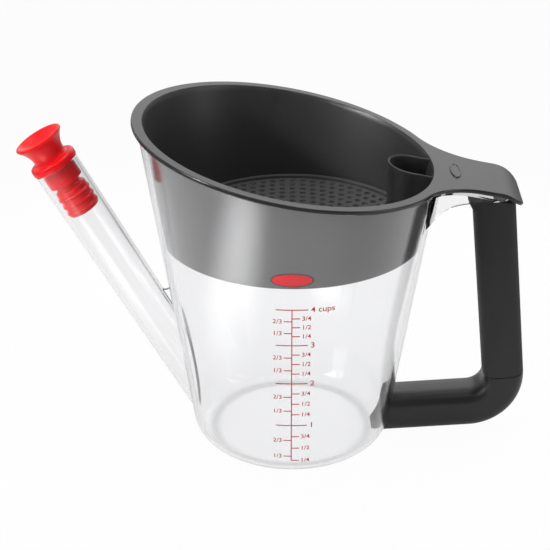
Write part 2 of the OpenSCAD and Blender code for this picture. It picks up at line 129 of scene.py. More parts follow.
# an output socket that can be used in an expression
class Wire:
    def __init__(self, sheet, node, key=0):
        self.sheet, self.node = sheet, node
        self.socket = node.outputs[key] if node.outputs else None

    def out(self, key):
        return Wire(self.sheet, self.node, key)

    def maths(self, operation, first, second):
        return self.sheet.add("ShaderNodeMath", {"operation": operation}, {0: first, 1: second})

    def __add__(self, other):
        return self.maths("ADD", self, other)

    def __sub__(self, other):
        return self.maths("SUBTRACT", self, other)

    def __rsub__(self, other):
        return self.maths("SUBTRACT", other, self)

    def __mul__(self, other):
        return self.maths("MULTIPLY", self, other)

    def upTo(self, other):
        return self.maths("MINIMUM", self, other)

    __radd__, __rmul__ = __add__, __mul__


# the nodes of one material, lamp or world
class Sheet:
    def __init__(self, owner):
        self.owner = owner
        owner.use_nodes = True
        self.tree = owner.node_tree
        self.tree.nodes.clear()

    def add(self, kind, settings=None, inputs=None):
        node = self.tree.nodes.new(kind)
        for key, value in (settings or {}).items():
            setattr(node, key, value)
        for key, value in (inputs or {}).items():
            if isinstance(value, Wire):
                self.tree.links.new(value.socket, node.inputs[key])
            else:
                node.inputs[key].default_value = value
        return Wire(self, node)

    def noise(self, scale, detail, rough):
        place = self.add("ShaderNodeTexCoord").out("Object")
        values = {"Vector": place, "Scale": scale, "Detail": detail, "Roughness": rough}
        return self.add("ShaderNodeTexNoise", None, values)

    # smooth change from first to last while value runs from low to high
    def fade(self, value, low, high, first, last):
        values = {"Value": value, "From Min": low, "From Max": high, "To Min": first, "To Max": last}
        return self.add("ShaderNodeMapRange", {"interpolation_type": "SMOOTHSTEP"}, values)

    def mix(self, amount, first, second):
        return self.add("ShaderNodeMix", {"data_type": "RGBA"}, {0: amount, 6: first, 7: second}).out(2)

    def bump(self, height, strength, distance):
        values = {"Height": height, "Strength": strength, "Distance": distance}
        return self.add("ShaderNodeBump", None, values)

    def finish(self, shader, kind="Material", inside=None):
        ends = {"Surface": shader}
        if inside:
            ends["Volume"] = inside
        self.add("ShaderNodeOutput" + kind, None, ends)
        return self.owner


def grey(level, tint=0.0):
    return (level, level, level * (1 + tint), 1)


# moulded plastic with a fine texture, faint flow marks and uneven gloss
def mouldedPlastic(name, dark, light, rough, spread, grain, depth, level):
    sheet = Sheet(bpy.data.materials.new(name))
    flow = sheet.noise(22.0, 2.0, 0.5)
    fine = sheet.noise(grain, 2.0, 0.6)
    values = {"Base Color": sheet.mix(flow * 0.7 + fine * 0.3, dark, light),
              "Roughness": flow * spread + (rough - spread / 2),
              "Normal": sheet.bump(fine, 0.5, depth), "Specular IOR Level": level}
    return sheet.finish(sheet.add("ShaderNodeBsdfPrincipled", None, values))


print("materials")

clearSpec = {"ior": 1.49, "colour": (0.985, 0.985, 0.988, 1), "cool": (0.975, 0.976, 0.980, 1), "mirror": 0.6,
             "waves": 35.0, "waveDepth": 0.00001, "handling": 18.0, "handled": 0.006, "shadow": 0.93,
             "deep": (0.80, 0.80, 0.82, 1), "density": 60.0}


# clear moulding with faint waves and handling marks; a lamp's light passes it straight
def clearPlastic():
    sheet = Sheet(bpy.data.materials.new("clearPlastic"))
    wave = sheet.noise(clearSpec["waves"], 1.0, 0.4)
    marksHere = sheet.noise(clearSpec["handling"], 1.0, 0.4)
    values = {"Base Color": sheet.mix(wave, clearSpec["colour"], clearSpec["cool"]),
              "Roughness": marksHere * clearSpec["handled"],
              "Normal": sheet.bump(wave, 0.35, clearSpec["waveDepth"]), "IOR": clearSpec["ior"],
              "Transmission Weight": 1.0, "Specular Tint": grey(clearSpec["mirror"])}
    solid = sheet.add("ShaderNodeBsdfPrincipled", None, values)
    straight = sheet.add("ShaderNodeBsdfTransparent", None, {"Color": grey(clearSpec["shadow"])})
    lampRay = sheet.add("ShaderNodeLightPath").out("Is Shadow Ray")
    depth = {"Color": clearSpec["deep"], "Density": clearSpec["density"]}
    return sheet.finish(sheet.add("ShaderNodeMixShader", None, {0: lampRay, 1: solid, 2: straight}),
                        inside=sheet.add("ShaderNodeVolumeAbsorption", None, depth))


clear = clearPlastic()
strainerDark = mouldedPlastic("strainerPlastic", dark=grey(0.020), light=grey(0.029, 0.03), rough=0.40,
                              spread=0.06, grain=2600.0, depth=0.000012, level=0.52)
edgeDark = mouldedPlastic("rimEdgePlastic", dark=grey(0.012), light=grey(0.018, 0.03), rough=0.17,
                          spread=0.05, grain=2600.0, depth=0.000004, level=0.5)
# painted light: the skirt is the same dark plastic, made a lighter grey for the reflections seen on it
# through the clear side
skirtPaintedLight = mouldedPlastic("skirtPlasticPaintedLight", dark=grey(0.097), light=grey(0.110, 0.03), rough=0.34,
                           spread=0.06, grain=1200.0, depth=0.000001, level=1.0)
# painted light: the sieve is the same dark plastic, made a lighter grey for the light that falls on its upper
# face
sievePaintedLight = mouldedPlastic("sievePlasticPaintedLight", dark=grey(0.064), light=grey(0.082, 0.03), rough=0.58,
                           spread=0.10, grain=2600.0, depth=0.00002, level=0.25)
armBlack = mouldedPlastic("armPlastic", dark=grey(0.012), light=grey(0.018, 0.03), rough=0.33,
                          spread=0.08, grain=1500.0, depth=0.00003, level=0.45)
gripBlack = mouldedPlastic("gripRubber", dark=grey(0.043), light=grey(0.053, 0.04), rough=0.66,
                           spread=0.12, grain=1400.0, depth=0.00010, level=0.15)
stopperRed = mouldedPlastic("stopperSilicone", dark=(0.80, 0.004, 0.008, 1), light=(0.87, 0.006, 0.011, 1),
                            rough=0.30, spread=0.08, grain=2200.0, depth=0.00002, level=0.30)
badgeRed = mouldedPlastic("badgePlastic", dark=(0.84, 0.006, 0.014, 1), light=(0.90, 0.008, 0.018, 1),
                          rough=0.40, spread=0.06, grain=500.0, depth=0.00002, level=0.12)
printRed = mouldedPlastic("printedInk", dark=(0.54, 0.03, 0.055, 1), light=(0.66, 0.045, 0.08, 1),
                          rough=0.5, spread=0.1, grain=1500.0, depth=0.00002, level=0.3)


# shared shape of jug and strainer: cones round the z axis under one tilted rim plane

jug = {"baseR": 49.0, "slope": 0.14872, "wall": 2.4, "floor": 1.8, "corner": 11.5, "inCorner": 9.0,
       "rimHeight": 156.0, "rimTilt": 10.5, "bead": 0.7, "beadHeight": 2.4, "around": 320}
slope = jug["slope"]
sideN = math.sqrt(1 + slope * slope)
sideAngle = math.degrees(math.atan(slope))
tiltCos = math.cos(math.radians(jug["rimTilt"]))
tiltSin = math.sin(math.radians(jug["rimTilt"]))
rimFall = math.tan(math.radians(jug["rimTilt"]))
inR = jug["baseR"] - jug["wall"] * sideN
turns = [2 * math.pi * i / jug["around"] for i in range(jug["around"])]


def outAt(z):
    return jug["baseR"] + slope * z


def rimAt(x):
    return jug["rimHeight"] - rimFall * x


# point at radius r and height z in the direction of a turn about the z axis
def polar(r, turn, z):
    return (r * math.cos(turn), r * math.sin(turn), z)


# point on a cone with the given base radius, up above the tilted rim plane
def underRim(baseR, up, turn):
    z = (jug["rimHeight"] + up - rimFall * baseR * math.cos(turn)) / (1 + rimFall * slope * math.cos(turn))
    return polar(baseR + slope * z, turn, z)


def ringAt(r, z):
    return [polar(r, t, z) for t in turns]


def rimRing(baseR, up):
    return [underRim(baseR, up, t) for t in turns]


# rows above a level ring at z0, up to the tilted ring upTop above the rim
def coneRows(baseR, z0, upTop, steps):
    rows = []
    for step in range(1, steps + 1):
        row = []
        for t in turns:
            z = z0 + (underRim(baseR, upTop, t)[2] - z0) * step / steps
            row.append(polar(baseR + slope * z, t, z))
        rows.append(row)
    return rows


# rings of the rounded corner between a floor at z0 and the side
def cornerRings(baseR, z0, corner, steps):
    zc = z0 + corner
    rc = baseR + slope * zc - corner * sideN
    return [ringAt(r, z) for r, z in arc(rc, zc, corner, -90, -sideAngle, steps)]


# clear jug: cup, spout, web and handle bracket are one moulding

print("clear jug")
clearSharp = 28  # edges of the jug that turn by less are shaded as round, in degrees
spout = {"tilt": 29.2, "length": 148.0, "footR": 10.0, "mouthR": 11.1, "wall": 1.95, "low": 11.8, "root": 5.5,
         "around": 144}
spoutSin, spoutCos = math.sin(math.radians(spout["tilt"])), math.cos(math.radians(spout["tilt"]))
spoutFoot = Vector((spout["footR"] * spoutCos - outAt(spout["low"]), 0,
                    spout["low"] + spout["footR"] * spoutSin))
spoutDir = Vector((-spoutSin, 0, spoutCos))
spoutSide = Vector((spoutCos, 0, spoutSin))


def spoutR(s):
    return spout["footR"] + (spout["mouthR"] - spout["footR"]) * s / spout["length"]


# round shape on the spout's centre line; profile gives distances along it and radii
def spoutLoft(name, profile, material):
    rings = []
    for s, r in profile:
        middle = spoutFoot + spoutDir * s
        rings.append([middle + spoutSide * (r * math.cos(a)) + Vector((0, r * math.sin(a), 0))
                      for a in (2 * math.pi * i / spout["around"] for i in range(spout["around"]))])
    return loft(name, rings, material)


def cupOutside(material, grow=0.0, bead=True):
    baseR = jug["baseR"] + grow
    lip = -jug["beadHeight"]
    rings = cornerRings(baseR, -grow, jug["corner"], 16)
    rings += coneRows(baseR, jug["corner"] * (1 - slope / sideN), lip, 12)
    b = jug["bead"]
    beadEdge = ((b * 0.55, lip + 0.02), (b * 0.92, lip + 0.25), (b, lip + 0.6), (b, -0.8), (b * 0.85, -0.32),
                (b * 0.5, -0.08), (0.0, 0.0))
    for out, up in beadEdge if bead else ((0.0, 30.0),):
        rings.append(rimRing(baseR + out * sideN, up))
    return loft("clearJug", rings, material, sharp=clearSharp)


def cupHollow(material):
    rings = cornerRings(inR, jug["floor"], jug["inCorner"], 14)
    rings += coneRows(inR, jug["floor"] + jug["inCorner"] * (1 - slope / sideN), -1.0, 12)
    for out, up in ((0.06, -0.6), (0.22, -0.3), (0.48, -0.08), (0.8, 0.02), (3.0, 2.0)):
        rings.append(rimRing(inR + out, up))
    return loft("hollow", rings, material)


web = {"crotch": 69.4, "height": 12.5, "thick": 1.6, "round": 0.86, "inSpout": 0.9, "inCup": 1.2, "root": 4.0,
       "rootIn": 0.4, "along": 60.0}


# thin wall in the corner between spout and cup, with a hollow round top
def spoutWeb(material):
    crotch, top = web["crotch"], web["crotch"] + web["height"]
    s = (top - spoutFoot.z - spoutR(web["along"]) * spoutSin) / spoutCos
    left = spoutFoot.x - s * spoutSin + spoutR(s) * spoutCos - web["inSpout"]
    right = -outAt(top) + web["inCup"]
    dip = (right - left) / 2
    side = [(left, top)] + arc(left + dip, top, dip * web["round"], 180, 360, 14)[1:-1]
    side += [(right, top), (-outAt(crotch) + web["rootIn"], crotch - web["root"])]
    half = web["thick"] / 2
    return prism("web", side, lambda p: (p[0], half, p[1]), lambda p: (p[0], -half, p[1]), material)


bracket = {"raise": 0.25, "plate": 4.4, "side": 2.0, "under": 131.9, "underX": 78.0, "underRise": 0.08,
           "width": 27.0, "flare": 24.0, "corner": 5.0, "end": 104.0, "curve": 12.0, "inCup": 12.0,
           "sunk": 0.3}
sideX = outAt(jug["rimHeight"]) / (1 + slope * rimFall)


# the bracket from above, flared where it meets the cup
def plateOutline(inset=0.0, end=bracket["end"]):
    f, c, half = bracket["flare"], bracket["corner"], bracket["width"] / 2
    midY = half + f
    midX = math.sqrt((sideX + f) ** 2 - midY ** 2)
    startAngle = math.degrees(math.atan2(-midY, -midX))
    side = arc(midX, midY, f + inset, startAngle, -90, 14) + arc(end - c, half - inset - c, c, 90, 0, 6)
    other = [(x, -y) for x, y in reversed(side)]
    rootX = sideX - bracket["inCup"]
    return [(rootX, side[0][1])] + side + other + [(rootX, -side[0][1])]


# plate along the rim's plane with a side wall under each edge; a hollow curve leads it into the cup's side
def bracketChannel(material):
    deep, far = 40.0, 2 * sideX
    c, low, sunk = bracket["curve"], bracket["under"], bracket["sunk"]
    block = prism("bracket", plateOutline(), lambda p: (p[0], p[1], jug["rimHeight"] - deep),
                  lambda p: (p[0], p[1], rimAt(p[0]) + bracket["raise"]), material)
    underside = [(outAt(low - deep) - sunk, low - deep)]
    underside += arc(outAt(low - c) - sunk + c, low - c, c, 180, 90, 14) + [(far, low), (far, low - deep)]
    rings = []
    for r, z in underside:
        rise = [bracket["underRise"] * (r * math.cos(t) - bracket["underX"]) for t in turns]
        rings.append([polar(r, t, z + up) for t, up in zip(turns, rise)])
    join(block, loft("underside", rings, material, closed=True), "DIFFERENCE", clearSharp)
    drop = bracket["plate"] / tiltCos
    channel = prism("channel", plateOutline(bracket["side"], far), lambda p: (p[0], p[1], low - 2 * deep),
                    lambda p: (p[0], p[1], rimAt(p[0]) - drop), material)
    join(channel, cupOutside(material, bead=False), "DIFFERENCE", clearSharp)
    return join(block, channel, "DIFFERENCE", clearSharp)


# each of these gives a point's distance from a round face, and the direction square to that face and out of
# the plastic; side is 1 on an outer face and -1 on an inner one

def besideCone(p, baseR, side):
    r = math.hypot(p.x, p.y)
    return abs(r - baseR - slope * p.z), Vector((p.x / r, p.y / r, -slope)) * (side / sideN)


def besideCorner(p, baseR, z0, corner, side):
    r = math.hypot(p.x, p.y)
    away = Vector((r - (baseR + slope * (z0 + corner) - corner * sideN), p.z - z0 - corner))
    if away.x < 0 or away.y > 0 or away.length < 1:
        return math.inf, Vector((0, 0, 1))
    gap = abs(away.length - corner)
    away = away.normalized() * side
    return gap, Vector((p.x / r * away.x, p.y / r * away.x, away.y))


def besideTube(p, shrink, side):
    offset = p - spoutFoot
    s = offset.dot(spoutDir)
    out = offset - spoutDir * s
    return abs(out.length - spoutR(s) + shrink), out.normalized() * side


# gives every point on the cup's and the spout's round faces its exact direction, so that they refract evenly
def trueNormals(obj):
    mesh = obj.data
    nearEnough, facing = 0.03, 0.85
    rounds = [lambda p: besideCone(p, jug["baseR"], 1), lambda p: besideCone(p, inR, -1),
              lambda p: besideCone(p, jug["baseR"] + jug["bead"] * sideN, 1),
              lambda p: besideCorner(p, jug["baseR"], 0, jug["corner"], 1),
              lambda p: besideCorner(p, inR, jug["floor"], jug["inCorner"], -1),
              lambda p: besideTube(p, 0, 1), lambda p: besideTube(p, spout["wall"], -1)]
    evenShading(obj)
    bpy.context.view_layer.update()
    even = obj.evaluated_get(bpy.context.evaluated_depsgraph_get())
    found = [n.vector.copy() for n in even.to_mesh().corner_normals]
    even.to_mesh_clear()
    obj.modifiers.clear()
    points = [v.co / mm for v in mesh.vertices]
    for poly in mesh.polygons:
        for beside in rounds:
            tests = [beside(points[v]) for v in poly.vertices]
            if all(gap < nearEnough and n.dot(poly.normal) > facing for gap, n in tests):
                for loop, (gap, n) in zip(poly.loop_indices, tests):
                    found[loop] = n
                break
    mesh.normals_split_custom_set(found)


def makeClearJug():
    body = cupOutside(clear)
    end, root, wall = spout["length"], spout["root"], spout["wall"]
    alongTube = [(-root, spoutR(-5))] + [(s, spoutR(s)) for s in (20, 60, 100)]
    mouthEdge = [(end - back, spoutR(end) - inn)
                 for back, inn in ((0.5, 0), (0.2, 0.06), (0.05, 0.16), (0, 0.3))]
    join(body, spoutLoft("tube", alongTube + mouthEdge, clear), "UNION", clearSharp)
    for part in (spoutWeb(clear), bracketChannel(clear)):
        join(body, part, "UNION", clearSharp)
    join(body, cupHollow(clear), "DIFFERENCE", clearSharp)
    alongBore = [(s, r - wall) for s, r in alongTube]
    boreEdge = [(end - back, spoutR(end) - wall + out)
                for back, out in ((0.4, 0), (0.1, 0.08), (0, 0.25), (-2, 3))]
    join(body, spoutLoft("bore", alongBore + boreEdge, clear), "DIFFERENCE", clearSharp)
    body.name = "clearJug"
    trueNormals(body)
    give(body, jugBody, "clear", "cup", "spout_tube", "handle_bracket")


makeClearJug()


# strainer: rim with thumb tab, side and vent are built here; its perforated floor comes from the CAD

print("strainer")
strainer = {"low": 112.5, "gap": 0.35, "wall": 1.4, "seat": 0.3, "rim": 2.0, "over": 1.8, "edge": 0.6,
            "lip": 0.25, "tabWidth": 37.6, "tabFlare": 35.0, "tabEnd": 110.26, "tabCorner": 7.0,
            "dropR": 19.0, "dropTurn": 54.0, "rimWidth": 4.8, "flare": 2.2, "flareShare": 0.35,
            "throat": 26.0, "neck": 0.6, "footEdge": 0.25, "footRise": 0.3}
outBasket = inR - strainer["gap"] * sideN
inBasket = outBasket - strainer["wall"] * sideN
lidUp = (strainer["seat"] + strainer["rim"]) / tiltCos
dropX = strainer["tabEnd"] - strainer["dropR"] * (math.sin(math.radians(strainer["dropTurn"])) - tiltSin)
dropMid = (dropX - strainer["dropR"] * tiltSin, rimAt(dropX) + lidUp - strainer["dropR"] * tiltCos)


# point of the rim or tab, depth below its upper face and square to it
def sheetPoint(x, y, depth):
    if x <= dropX:
        nx, nz, z = tiltSin, tiltCos, rimAt(x) + lidUp
    else:
        nx = min((x - dropMid[0]) / strainer["dropR"], 0.97)
        nz = math.sqrt(1 - nx * nx)
        z = dropMid[1] + strainer["dropR"] * nz
    return (x - nx * depth, y, z - nz * depth)


# outer edge of rim and tab from above, from the tab's middle round to the spout side and back
def rimOutline():
    half, c, end = strainer["tabWidth"] / 2, strainer["tabCorner"], strainer["tabEnd"]
    f = strainer["tabFlare"]
    baseR = jug["baseR"] + strainer["over"] * sideN
    rimR = baseR + slope * (jug["rimHeight"] + lidUp)
    rimMid = -rimR * slope * rimFall
    flareY = half + f
    flareX = rimMid + math.sqrt((rimR + f) ** 2 - flareY ** 2)
    side = [(end, half * k / 6 - c * k / 6) for k in range(6)]
    side += arc(end - c, half - c, c, 0, 90, 10)
    fromX = end - c
    side += [(fromX + (flareX - fromX) * k / 6, half) for k in range(1, 6)]
    side += arc(flareX, flareY, f, -90, math.degrees(math.atan2(-flareY, -(flareX - rimMid))), 22)
    last = math.atan2(side[-1][1], side[-1][0])
    steps = 110
    side += [underRim(baseR, lidUp, last + (math.pi - last) * k / steps)[:2] for k in range(1, steps + 1)]
    side[-1] = (side[-1][0], 0.0)
    return side + [(x, -y) for x, y in reversed(side[1:-1])]


# directions out of a closed outline, one at each point
def outwards(outline):
    normals = []
    for i in range(len(outline)):
        along = (Vector(outline[(i + 1) % len(outline)]) - Vector(outline[i - 1])).normalized()
        normals.append(Vector((along.y, -along.x)))
    return normals


def makeStrainer():
    outline = rimOutline()
    normals = outwards(outline)
    points = range(len(outline))
    turnsHere = [math.atan2(y, x) for x, y in outline]
    e, thick, low, lip = strainer["edge"], strainer["rim"], strainer["low"], strainer["lip"]
    neck, faceSteps = strainer["neck"], 26
    crest = jug["baseR"] + (strainer["over"] - strainer["rimWidth"]) * sideN
    underUp = strainer["seat"] / tiltCos
    foot = low + strainer["footRise"]

    # on rim or tab, inset from the outline
    def face(i, inset, depth):
        return sheetPoint(outline[i][0] - normals[i].x * inset, outline[i][1] - normals[i].y * inset, depth)

    # on the face between an inner ring and the outline's inset edge
    def faceRow(share, depth, inner):
        row = []
        for i in points:
            ox, oy = outline[i][0] - normals[i].x * e, outline[i][1] - normals[i].y * e
            row.append(sheetPoint(inner[i][0] + (ox - inner[i][0]) * share,
                                  inner[i][1] + (oy - inner[i][1]) * share, depth))
        return row

    # base radius of the inner face, which leans out to the rim's inner edge in two flares
    def innerBase(down):
        near, far = max(0.0, 1 - down / strainer["flare"]), max(0.0, 1 - down / strainer["throat"])
        short = strainer["flareShare"]
        return inBasket + (crest - inBasket) * (short * near * near + (1 - short) * far * far)

    # inside, from the lower edge up to the lip
    rows = []
    for k in range(25):
        row = []
        for turn in turnsHere:
            top = underRim(crest, lidUp - lip, turn)[2]
            z = foot + (top - foot) * (1 - (1 - k / 24) ** 1.6)
            row.append(polar(innerBase(top - z) + slope * z, turn, z))
        rows.append(row)
    # rounded lip between side and rim, then the rim's upper face
    for k in range(1, 5):
        a = math.radians(90 * k / 4)
        rows.append([underRim(crest + lip * (1 - math.cos(a)), lidUp - lip + lip * math.sin(a), turn)
                     for turn in turnsHere])
    innerTop = rows[-1]
    rows += [faceRow(k / faceSteps, 0.0, innerTop) for k in range(1, faceSteps + 1)]
    # outer edge, rounded above and below
    edgeFrom = len(rows)
    for first, last, depth in ((1, 6, e), (6, 12, thick - e)):
        for k in range(first, last + 1):
            a = math.radians(15 * k)
            rows.append([face(i, e * (1 - math.sin(a)), depth - e * math.cos(a)) for i in points])
    edgeTo = len(rows) - 1
    # under the rim and round the inner corner to the outside
    innerLow = [underRim(outBasket + neck, underUp, turn) for turn in turnsHere]
    rows += [faceRow(k / faceSteps, thick, innerLow) for k in range(faceSteps - 1, -1, -1)]
    for k in range(1, 4):
        a = math.radians(90 * k / 3)
        rows.append([underRim(outBasket + neck * (1 - math.sin(a)), underUp - neck * (1 - math.cos(a)), turn)
                     for turn in turnsHere])
    for k in range(1, 11):
        row = []
        for turn in turnsHere:
            top = underRim(outBasket, underUp - neck, turn)[2]
            z = top + (foot - top) * k / 10
            row.append(polar(outBasket + slope * z, turn, z))
        rows.append(row)
    for r in (outBasket + slope * low - strainer["footEdge"], inBasket + slope * low + strainer["footEdge"]):
        rows.append([polar(r, turn, low) for turn in turnsHere])
    shell = loft("strainerShell", rows, strainerDark, closed=True, sharp=40)
    shell.data.materials.append(skirtPaintedLight)
    shell.data.materials.append(edgeDark)
    paintShell(shell, edgeFrom * len(outline), edgeTo * len(outline))
    give(shell, strainerBody, "dark_grey", "strainer_basket")


# the rim's edge is glossy; the skirt is what shows through the clear side, below the rim and off the handle;
# it gets a lighter grey copy of the dark plastic, painted light for the reflections it shows
def paintShell(shell, edgeFrom, edgeTo):
    besideWall, belowRim, handleX = 0.9, 2.4, 76
    for poly in shell.data.polygons:
        c = poly.center / mm
        outside = math.hypot(c.x, c.y) > inBasket + slope * c.z + besideWall
        if edgeFrom <= poly.index < edgeTo:
            poly.material_index = 2
        elif outside and c.z < rimAt(c.x) + lidUp - belowRim and c.x < handleX:
            poly.material_index = 1


makeStrainer()

vent = {"width": 22.6, "reach": 22.5, "wall": 1.1, "low": 0.35, "foot": 112.5, "depth": 43.5, "legX": 58.81,
        "inWall": 0.5}


# trough whose plan is a U; each ring of the loft is a section across its wall at one point of the U
def makeVent():
    half, w = vent["width"] / 2, vent["wall"]
    middle = inBasket + slope * (strainer["low"] + vent["depth"]) - vent["reach"] + half
    section = [(0.0, None), (0.0, -1.2), (0.12 * w, -0.45), (0.5 * w, -0.15), (0.88 * w, -0.45), (w, -1.2),
               (w, None)]

    # top of the wall at x, up above it, or the foot where up is None
    def heightAt(x, up):
        return vent["foot"] if up is None else rimAt(x) + lidUp - vent["low"] + up

    # share of the way from the bow to the strainer's side
    def legRing(share, sideways):
        ring = []
        for inset, up in section:
            y = sideways * (half - inset)
            z = heightAt(vent["legX"], up)
            end = math.sqrt((inBasket + slope * z) ** 2 - y * y) + vent["inWall"]
            x = middle + (end - middle) * share
            ring.append((x, y, heightAt(x, up)))
        return ring

    def bowRing(a):
        ring = []
        for inset, up in section:
            x = middle + (half - inset) * math.cos(a)
            ring.append((x, (half - inset) * math.sin(a), heightAt(x, up)))
        return ring

    legShares = (1.0, 0.66, 0.33)
    rings = [legRing(share, 1) for share in legShares]
    rings += [bowRing(math.radians(90 + 180 * k / 28)) for k in range(29)]
    rings += [legRing(share, -1) for share in reversed(legShares)]
    give(loft("ventTrough", rings, strainerDark, sharp=40), strainerBody, "dark_grey", "vent_chimney")


makeVent()

badge = {"length": 18.6, "height": 6.6, "up": 4.9, "rise": 0.2, "edge": 0.5, "seatLong": 0.55,
         "seatShort": 0.5, "seatRise": 0.12, "seatBorder": 0.5, "seatSunk": 0.1}
pad = {"length": 16.4, "height": 5.3, "x": 78.2, "rise": 0.55, "border": 0.75, "sunk": 0.3}
ovalAround = 96
ovalRoot = -0.35  # how far a badge or pad goes into what it sits on


# oval rings; place turns across, up and out values into a point, and rings gives both half axes and out
def ovalPiece(name, place, rings, material, sharp):
    angles = [2 * math.pi * i / ovalAround for i in range(ovalAround)]
    return loft(name, [[place(a * math.cos(t), b * math.sin(t), out) for t in angles] for a, b, out in rings],
                material, sharp=sharp)


def lowDome(name, place, longHalf, shortHalf, rise, edge, material):
    e = edge / shortHalf
    shares = ((1.0, ovalRoot), (1.0, rise * 0.25), (1 - e * 0.25, rise * 0.62), (1 - e * 0.7, rise * 0.88),
              (1 - e * 1.4, rise), (0.6, rise * 1.06), (0.3, rise * 1.1))
    return ovalPiece(name, place, [(longHalf * s, shortHalf * s, out) for s, out in shares], material, 50)


# low oval pad with a raised border round a bare, slightly sunken middle
def borderedPad(name, place, longHalf, shortHalf, rise, border, sunk, material):
    insets = ((0.0, ovalRoot), (0.0, rise * 0.6), (0.12, rise * 0.92), (0.3, rise), (border - 0.15, rise),
              (border, rise * 0.9), (border + 0.08, rise - sunk * 0.8), (border + 0.25, rise - sunk),
              (shortHalf * 0.6, rise - sunk))
    return ovalPiece(name, place, [(longHalf - s, shortHalf - s, out) for s, out in insets], material, 40)


def onSkirt(across, up, out):
    z = strainer["low"] + badge["up"] + up
    r = outBasket + slope * z + out
    return (r * math.sin(across / r), -r * math.cos(across / r), z)


def onTab(across, along, out):
    return sheetPoint(pad["x"] + along, across, -out)


def makeOvals():
    longHalf, shortHalf = badge["length"] / 2, badge["height"] / 2
    give(lowDome("ovalBadge", onSkirt, longHalf, shortHalf, badge["rise"], badge["edge"], badgeRed),
         strainerBody, "badge_red", "oval_badge")
    # the seat's dark border round the badge is partly the real pocket's edge and partly painted shade, the
    # shade line in the pocket
    seat = borderedPad("badgeSeatShade", onSkirt, longHalf + badge["seatLong"], shortHalf + badge["seatShort"],
                       badge["seatRise"], badge["seatBorder"], badge["seatSunk"], edgeDark)
    give(seat, strainerBody, "dark_grey")
    bare = borderedPad("tabPad", onTab, pad["length"] / 2, pad["height"] / 2, pad["rise"], pad["border"],
                       pad["sunk"], strainerDark)
    give(bare, strainerBody, "dark_grey")


makeOvals()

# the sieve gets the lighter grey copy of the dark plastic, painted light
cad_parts["strainer_floor"].material_slots[0].material = sievePaintedLight
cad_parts["scale_print"].material_slots[0].material = printRed


# handle: glossy arm with its bend, matt grip

print("handle")
handle = {"cornerX": 110.0, "cornerZ": 16.0, "rise": 4.5, "lean": 6.3, "thick": 20.6, "wide": 22.8,
          "square": 3.2, "bendR": 18.5, "groove": 0.45, "reach": 50.0, "sunk": 0.2, "lipOut": 2.4,
          "lipFull": 5.0, "lipStart": 12.5, "lipFrom": 5.0, "lipSpan": 4.0, "lipHalf": 9.5, "topEdge": 0.8,
          "topRound": 0.9, "straight": 70.0}
riseR, leanR = math.radians(handle["rise"]), math.radians(handle["lean"])
bendTurn = 90 + handle["lean"] - handle["rise"]
bendRun = handle["bendR"] * math.tan(math.radians(bendTurn / 2))
armDir = Vector((math.cos(riseR), 0, math.sin(riseR)))
armUp = Vector((-math.sin(riseR), 0, math.cos(riseR)))
bendStart = Vector((handle["cornerX"], 0, handle["cornerZ"])) - armDir * bendRun
bendMid = bendStart + armUp * handle["bendR"]
gripDir = Vector((-math.sin(leanR), 0, math.cos(leanR)))
gripOut = Vector((math.cos(leanR), 0, math.sin(leanR)))
gripFoot = bendMid + gripOut * handle["bendR"]


# section between an oval and a rectangle: first value away from the bend's middle, second across
def softSection(shrink=0.0):
    a, b = handle["thick"] / 2 - shrink, handle["wide"] / 2 - shrink
    turned = [(math.cos(2 * math.pi * k / 64), math.sin(2 * math.pi * k / 64)) for k in range(64)]
    power = 2 / handle["square"]
    return [(math.copysign(a * abs(c) ** power, c), math.copysign(b * abs(d) ** power, d)) for c, d in turned]


def sectionRing(middle, outDir, shrink=0.0):
    return [middle + outDir * a + Vector((0, b, 0)) for a, b in softSection(shrink)]


# arm and grip meet in a small groove
def makeArm():
    g, reach = handle["groove"], handle["reach"]
    rings = [sectionRing(bendStart - armDir * (reach - reach * k / 8), -armUp) for k in range(9)]
    for k in range(1, 28):
        a = math.radians(bendTurn * k / 28)
        out = -armUp * math.cos(a) + armDir * math.sin(a)
        rings.append(sectionRing(bendMid + out * handle["bendR"], out))
    for up, inn in ((-g, 0.0), (-g * 0.35, g * 0.25), (0.0, g * 0.9)):
        rings.append(sectionRing(gripFoot + gripDir * up, gripOut, inn))
    arm = loft("handleArm", rings, armBlack, sharp=30)
    join(arm, cupOutside(clear, -handle["sunk"], bead=False), "DIFFERENCE", 30)
    arm.data.materials.clear()
    arm.data.materials.append(armBlack)
    give(arm, jugBody, "hard_black", "handle_core")


def makeGrip():
    g = handle["groove"]
    rings = [sectionRing(gripFoot + gripDir * 0.02, gripOut, g * 0.9),
             sectionRing(gripFoot + gripDir * g * 0.35, gripOut, g * 0.25)]
    rings += [sectionRing(gripFoot + gripDir * (g + handle["straight"] * k / 8), gripOut) for k in range(9)]

    # slides a point along the grip to its place below the bracket's plate
    def toBracket(p, below):
        gap = rimAt(p.x) - (bracket["plate"] - handle["sunk"]) / tiltCos - below - p.z
        return p + gripDir * (gap / (gripDir.z + rimFall * gripDir.x))

    # the lip swells out of the inner side near the top, fully across its middle
    for below in (22, 18, 15, 12.5, 10.5, 9, 7.5, 6, 4.5, 3, 1.6, 0.8, 0.25, 0.0):
        ring = []
        shrink = max(0.0, handle["topEdge"] - below) * handle["topRound"]
        swell = (handle["lipStart"] - below) / (handle["lipStart"] - handle["lipFull"])
        swell = max(0.0, min(1.0, swell))
        swell = swell * swell * (3 - 2 * swell)
        for (a, b), p in zip(softSection(shrink), sectionRing(gripFoot, gripOut, shrink)):
            inner = max(0.0, min(1.0, (-a - handle["lipFrom"]) / handle["lipSpan"]))
            inner *= max(0.0, 1 - (abs(b) / handle["lipHalf"]) ** 4)
            ring.append(toBracket(p, below) - gripOut * (handle["lipOut"] * inner * swell))
        rings.append(ring)
    give(loft("softGrip", rings, gripBlack, sharp=30), jugBody, "soft_black", "handle_grip")


